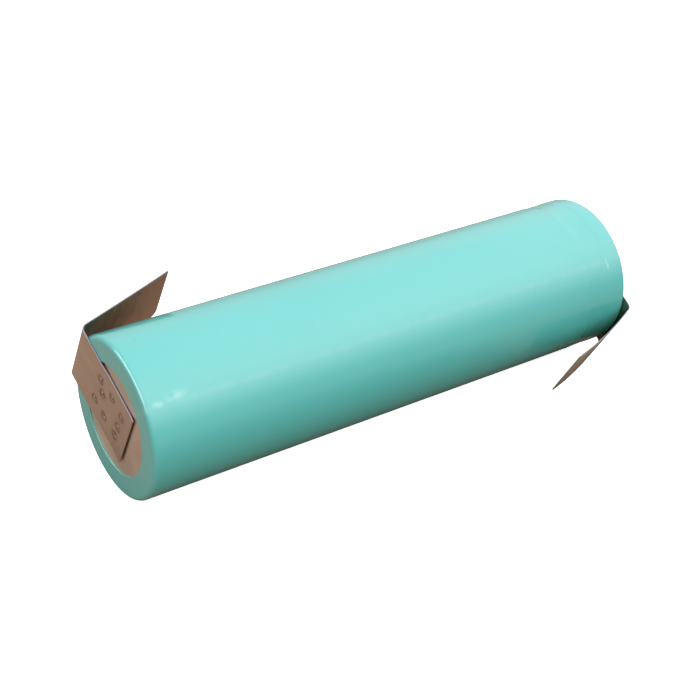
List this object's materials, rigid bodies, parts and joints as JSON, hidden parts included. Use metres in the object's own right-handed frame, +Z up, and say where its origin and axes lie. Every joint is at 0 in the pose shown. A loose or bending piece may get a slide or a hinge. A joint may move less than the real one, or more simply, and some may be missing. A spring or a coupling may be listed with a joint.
{
  "type": "cylindrical battery cell",
  "caption": "Cylindrical lithium-ion cell in a shrink sleeve, with a nickel solder tab spot-welded on each end and folded back along the body.",
  "frame": {"origin": "on the cell's axis, at the outer face of the nickel tab welded on the negative end", "axes": "+X along the cell from the negative to the positive end, +Z up with the cell lying on its side, +Y across it towards the side that the negative tab's free leg stands out on"},
  "size_m": [0.0654, 0.027, 0.0183],
  "materials": {
    "sleeve_film": "satin",
    "nickel_strip": "satin",
    "plated_steel": "satin",
    "aluminium_sheet": "satin",
    "gasket_plastic": "matte",
    "insulating_card": "matte",
    "conductive_polymer": "matte",
    "anode_coating": "matte",
    "cathode_coating": "matte",
    "separator_film": "satin",
    "winding_tape": "satin"
  },
  "bodies": {
    "cell": {"sleeve": "sleeve_film", "can": "plated_steel", "top_washer": "insulating_card", "crimp_gasket": "gasket_plastic", "positive_cap": "plated_steel", "ptc_ring": "conductive_polymer", "vent_disc": "aluminium_sheet", "cid_insulator": "gasket_plastic", "cid_plate": "aluminium_sheet", "upper_insulator": "insulating_card", "lower_insulator": "insulating_card", "centre_pin": "plated_steel", "anode": "anode_coating", "cathode": "cathode_coating", "inner_separator": "separator_film", "outer_separator": "separator_film", "winding_tape": "winding_tape", "anode_lead": "nickel_strip", "cathode_lead": "aluminium_sheet", "negative_tab_base": "nickel_strip", "negative_tab_fold": "nickel_strip", "positive_tab_base": "nickel_strip", "positive_tab_fold": "nickel_strip"},
    "negative_leg": {"negative_tab_leg": "nickel_strip"},
    "positive_leg": {"positive_tab_leg": "nickel_strip"}
  },
  "joints": [
    {"name": "negative_tab_bend", "type": "hinge", "parent": "cell", "child": "negative_leg", "pos_m": [0.0002, 0.00829, 0.00389], "axis": [0, -0.3921, 0.9199], "range_deg": [-12, 72.6], "deforming": ["negative_tab_fold"]},
    {"name": "positive_tab_bend", "type": "hinge", "parent": "cell", "child": "positive_leg", "pos_m": [0.06522, -0.00832, -0.00371], "axis": [0, -0.4522, 0.8919], "range_deg": [-12, 71.15], "deforming": ["positive_tab_fold"]}
  ]
}
